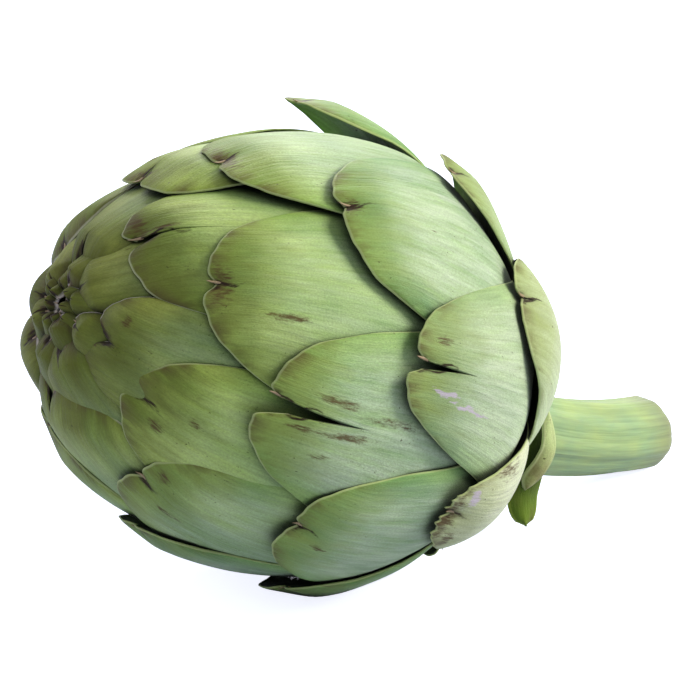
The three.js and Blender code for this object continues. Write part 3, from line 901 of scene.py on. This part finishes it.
def build_bract(bract, skin, thorn_skin):
    # Columns lie closest at the notch and at the edges, and closer all over where there are marks.
    steps = MARKED_COLUMNS if bract["number"] in MARKS else PLAIN_COLUMNS
    half = (1 - np.cos(np.linspace(0, math.pi, steps))) / 2
    u_left = -half[::-1]
    columns = np.concatenate([u_left, half])
    centre = len(u_left)
    rows = np.linspace(0, 1, BRACT_ROWS) ** 1.3
    nudge = np.where(np.arange(len(columns)) < centre, -1e-4, 1e-4)
    u = np.tile(np.clip(columns + nudge, -1, 1), (len(rows), 1))
    start = edge_start(bract, u)
    y = start + (bract["length"] - start) * rows[:, None]
    inside = (1 - u**2) * np.clip((y - 4) / 20, 0, 1)
    thick = EDGE_THICKNESS + (ROOT_THICKNESS - EDGE_THICKNESS) * inside * bract["scale"]
    outer = bract_surface(bract, u, y, np.zeros_like(u))
    inner = bract_surface(bract, u, y, thick)
    index = np.arange(u.size).reshape(u.shape)
    joined = y[:, centre] >= bract["split"]
    joined &= y[:, centre - 1] >= bract["split"]
    index[joined, centre] = index[joined, centre - 1]
    quads = []
    for i in range(len(rows) - 1):
        for j in range(len(columns) - 1):
            if j == centre - 1:
                continue
            a, b, c, d = index[i, j], index[i, j + 1], index[i + 1, j + 1], index[i + 1, j]
            quads.append([int(a), int(d), int(c), int(b)])
    x = u * bract["half_width"]
    rim = edge_distance(bract, u, y)
    values = {
        "leaf": np.stack([x, y, np.full_like(x, bract["number"])], axis=-1).reshape(-1, 3),
        "marks": mark_values(bract, u * half_width_at(bract, y), y).reshape(-1, 3),
        "edges": np.stack([rim, y, np.full_like(y, bract["pale"])], axis=-1).reshape(-1, 3),
    }
    used = sorted({p for q in quads for p in q})
    renumber = {p: i for i, p in enumerate(used)}
    quads = [[renumber[p] for p in q] for q in quads]
    values = {key: value[used] for key, value in values.items()}
    points, faces, values = close_sheet(
        outer.reshape(-1, 3)[used], inner.reshape(-1, 3)[used], quads, values
    )
    leaf_faces = len(faces)
    thorn, thorn_faces = thorn_points(bract)
    faces += [tuple(len(points) + p for p in f) for f in thorn_faces]
    points = np.concatenate([points, thorn])
    values = {key: np.concatenate([value, np.zeros((len(thorn), 3))]) for key, value in values.items()}
    kinds = [0] * leaf_faces + [1] * len(thorn_faces)
    name = f"bract_{bract['number'] - HEART + 1:02d}"
    thing = make_mesh(name, points, faces, [skin, thorn_skin], kinds, values)
    place_piece(thing, "head")


def smooth_path(points, count):
    """A Catmull-Rom run through the points, evenly spaced."""
    points = np.array(points, dtype=float)
    ends = np.concatenate([[2 * points[0] - points[1]], points, [2 * points[-1] - points[-2]]])
    fine = []
    for i in range(1, len(ends) - 2):
        p0, p1, p2, p3 = ends[i - 1 : i + 3]
        for t in np.linspace(0, 1, 30, endpoint=False):
            fine.append(
                0.5
                * (
                    2 * p1
                    + (p2 - p0) * t
                    + (2 * p0 - 5 * p1 + 4 * p2 - p3) * t**2
                    + (3 * p1 - p0 - 3 * p2 + p3) * t**3
                )
            )
    fine.append(points[-1])
    fine = np.array(fine)
    lengths = np.concatenate([[0], np.cumsum(np.linalg.norm(np.diff(fine, axis=0), axis=1))])
    wanted = np.linspace(0, lengths[-1], count)
    return np.stack([np.interp(wanted, lengths, fine[:, k]) for k in range(3)], axis=1)


def build_bent_bract(order, plan, skin):
    path = smooth_path(CENTRE + np.array(plan["path"]), 40)
    runs = np.gradient(path, axis=0)
    runs /= np.linalg.norm(runs, axis=1, keepdims=True)
    face = np.array(plan["face"], dtype=float)
    columns = np.sin(np.linspace(-math.pi / 2, math.pi / 2, 15))
    outer, inner, leaf, edges = [], [], [], []
    for i, (point, run) in enumerate(zip(path, runs)):
        part = i / (len(path) - 1)
        across = np.cross(face, run)
        across /= np.linalg.norm(across)
        normal = np.cross(run, across)
        blunt = math.sqrt(max(0.0, 1 - max(0.0, (part - 0.86) / 0.14) ** 2)) * 0.97 + 0.03
        opened = min(1.0, max(0.0, (part - 0.2) / 0.5))
        width = plan["half_width"] * (0.3 + 0.7 * opened * opened * (3 - 2 * opened)) * blunt
        for u in columns:
            ripple = 0.25 * math.sin(9 * part + 3 * u)
            spot = point + across * u * width + normal * (ripple - plan["cup"] * u * u)
            outer.append(spot)
            inner.append(spot - normal * BENT_THICKNESS)
            leaf.append((u * width, BENT_LENGTH * (1 - part), 60 + order))
            edges.append(((1 - abs(u)) * width, BENT_LENGTH * (1 - part), 0.0))
    size = len(columns)
    quads = []
    for i in range(len(path) - 1):
        for j in range(size - 1):
            a = i * size + j
            quads.append([a, a + size, a + size + 1, a + 1])
    values = {
        "leaf": np.array(leaf),
        "marks": np.zeros((len(leaf), 3)),
        "edges": np.array(edges),
    }
    points, faces, values = close_sheet(np.array(outer), np.array(inner), quads, values)
    thing = make_mesh(f"bent_bract_{order}", points, faces, [skin], None, values)
    place_piece(thing, "head")


def build_core(skin):
    rings, sides = 48, 64
    angle = np.linspace(0.02, math.pi - 0.02, rings)
    footward = np.clip((angle / math.pi - 0.5) / 0.35, 0, 1)
    depth = CORE_DEPTH + (FOOT_DEPTH - CORE_DEPTH) * footward**2 * (3 - 2 * footward)
    turn = np.linspace(0, 2 * math.pi, sides, endpoint=False)
    grid_angle, grid_turn = np.meshgrid(angle, turn, indexing="ij")
    point, normal = on_egg(grid_angle, grid_turn)
    points = (point - normal * depth[:, None, None]).reshape(-1, 3)
    faces = [(a, d, c, b) for a, b, c, d in band_faces(rings, sides)]
    faces.append(tuple(range(sides)))
    faces.append(tuple((rings - 1) * sides + j for j in reversed(range(sides))))
    thing = make_mesh("core", points, faces, [skin])
    place_piece(thing, "head")


def build_stem(skin, cut_skin):
    seat = CENTRE + AXIS * (STEM_SEAT - BASE_LENGTH) - UP * STEM_DROP
    middle = CENTRE + np.array(STEM_MIDDLE)
    end = CENTRE + np.array(STEM_END)
    rings, sides = 110, 120
    points, leaf = [], []
    rng = np.random.default_rng(5)
    phases = rng.uniform(0, 2 * math.pi, 6)
    for i in range(rings):
        part = i / (rings - 1)
        centre = (1 - part) ** 2 * seat + 2 * part * (1 - part) * middle + part**2 * end
        run = 2 * (1 - part) * (middle - seat) + 2 * part * (end - middle)
        run /= np.linalg.norm(run)
        side = np.cross(run, UP)
        side /= np.linalg.norm(side)
        rise = np.cross(side, run)
        neck = (STEM_NECK - STEM_RADIUS) * math.exp(-((part / STEM_NECK_RUN) ** 2))
        bevel = STEM_BEVEL * max(0.0, (part - 0.95) / 0.05) ** 2
        for j in range(sides):
            turn = 2 * math.pi * j / sides
            rib = STEM_RIB_HEIGHT * math.cos(STEM_RIBS * turn + 1.5 * part)
            rib += 0.08 * math.cos(23 * turn + phases[0] + 2 * part)
            rib += 0.05 * math.cos(41 * turn + phases[1])
            rib *= 1 - 0.7 * part**6
            slow = 0.25 * math.sin(2 * turn + 5 * part + phases[2]) * part
            radius = STEM_RADIUS + neck + rib + slow - bevel
            spot = centre + side * radius * math.cos(turn) + rise * radius * math.sin(turn)
            spot[2] = max(spot[2], 0.0)
            points.append(spot)
            round_stem = turn if turn < math.pi else 2 * math.pi - turn
            leaf.append((STEM_RADIUS * round_stem, part * STEM_LENGTH, 0.0))
    faces = band_faces(rings, sides)
    kinds = [0] * len(faces)
    points.append(end)
    leaf.append((0.0, STEM_LENGTH, 0.0))
    for j in range(sides):
        k = (j + 1) % sides
        faces.append(((rings - 1) * sides + j, (rings - 1) * sides + k, len(points) - 1))
        kinds.append(1)
    points.append(seat)
    leaf.append((0.0, 0.0, 0.0))
    for j in range(sides):
        faces.append(((j + 1) % sides, j, len(points) - 1))
        kinds.append(0)
    thing = make_mesh("stalk", points, faces, [skin, cut_skin], kinds, {"leaf": leaf})
    place_piece(thing, "stem")


skins = {name: bract_skin(name, **colours) for name, colours in BRACT_SKINS.items()}

# Thorn: dead straw-brown tissue, half matt.
thorn_skin = plain_material("dry_thorn", "#a08a68", 0.5)
# Core: a dark green that shows in the cracks between the leaves, painted shade.
core_shade_skin = plain_material("inner_leaf_shade", "#3c4a1e", 0.7)
# Cut: dried pith, matt and straw-grey.
cut_skin = plain_material("cut_stalk", "#a79f78", 0.8)

draws = Draws(BRACT_SEED)
for number in range(INNERMOST, OUTERMOST + 1):
    build_bract(plan_bract(number, draws), skins["waxy_bract"], thorn_skin)
heart_draws = Draws(HEART_SEED)
for number in range(HEART, INNERMOST):
    build_bract(plan_bract(number, heart_draws), skins["waxy_bract"], thorn_skin)
for order, plan in enumerate(BENT_BRACTS, 1):
    build_bent_bract(order, plan, skins[plan["skin"]])
build_core(core_shade_skin)
build_stem(stem_skin(), cut_skin)

# Floor: a matt white table, on which only the closest shadow shows.
floor_material, floor_tree = new_material("white_table")
seen = add(floor_tree, "ShaderNodeLightPath", {}).outputs["Is Camera Ray"]
glow = add(floor_tree, "ShaderNodeMath", {0: seen, 1: FLOOR_GLOW}, operation="MULTIPLY")
floor_skin = add(
    floor_tree,
    "ShaderNodeBsdfPrincipled",
    {
        "Base Color": srgb(FLOOR_COLOUR),
        "Roughness": 0.8,
        "Emission Color": srgb(FLOOR_GLOW_COLOUR),
        "Emission Strength": glow,
    },
)
add(floor_tree, "ShaderNodeOutputMaterial", {"Surface": floor_skin})
bpy.ops.mesh.primitive_plane_add(size=12, location=(0, 0, 0))
floor = bpy.context.object
floor.name = "floor"
floor.data.materials.append(floor_material)

back = Vector(
    (
        math.sin(CAMERA_TURN) * math.cos(CAMERA_RAISE),
        -math.cos(CAMERA_TURN) * math.cos(CAMERA_RAISE),
        math.sin(CAMERA_RAISE),
    )
)
right = Vector((math.cos(CAMERA_TURN), math.sin(CAMERA_TURN), 0))
upward = back.cross(right)
camera_data = bpy.data.cameras.new("camera")
camera_data.sensor_width = SENSOR_WIDTH
camera_data.lens = SENSOR_WIDTH * FOCAL_PIXELS / FRAME_PIXELS
camera_data.clip_start = 0.01
camera_data.clip_end = 20
camera = bpy.data.objects.new("camera", camera_data)
bpy.context.scene.collection.objects.link(camera)
spot = Vector(CENTRE) + back * CAMERA_DISTANCE + right * CAMERA_SHIFT[0] + upward * CAMERA_SHIFT[1]
turned = Matrix((right, upward, back)).transposed()
camera.matrix_world = Matrix.Translation(spot * MM) @ turned.to_4x4()
bpy.context.scene.camera = camera


def add_window(name, towards, distance, size, watts, colour):
    data = bpy.data.lights.new(name, "AREA")
    data.shape = "DISK"
    data.size = size
    data.energy = watts
    data.color = srgb(colour)[:3]
    lamp = bpy.data.objects.new(name, data)
    bpy.context.scene.collection.objects.link(lamp)
    away = (right * towards[0] + upward * towards[1] + back * towards[2]).normalized()
    lamp.location = Vector(CENTRE) * MM + away * distance
    lamp.rotation_euler = away.to_track_quat("Z", "Y").to_euler()


for window in WINDOWS:
    add_window(*window)

world = bpy.data.worlds.new("white_room")
world.use_nodes = True
world.node_tree.nodes.clear()
seen = add(world.node_tree, "ShaderNodeLightPath", {}).outputs["Is Camera Ray"]
brightness = add(world.node_tree, "ShaderNodeMapRange", {0: seen, 1: 0.0, 2: 1.0, 3: ROOM_LIGHT, 4: 1.0})
room = add(world.node_tree, "ShaderNodeBackground", {"Color": srgb(ROOM_COLOUR), "Strength": brightness})
add(world.node_tree, "ShaderNodeOutputWorld", {"Surface": room})
bpy.context.scene.world = world
bpy.context.scene.view_settings.view_transform = "Standard"
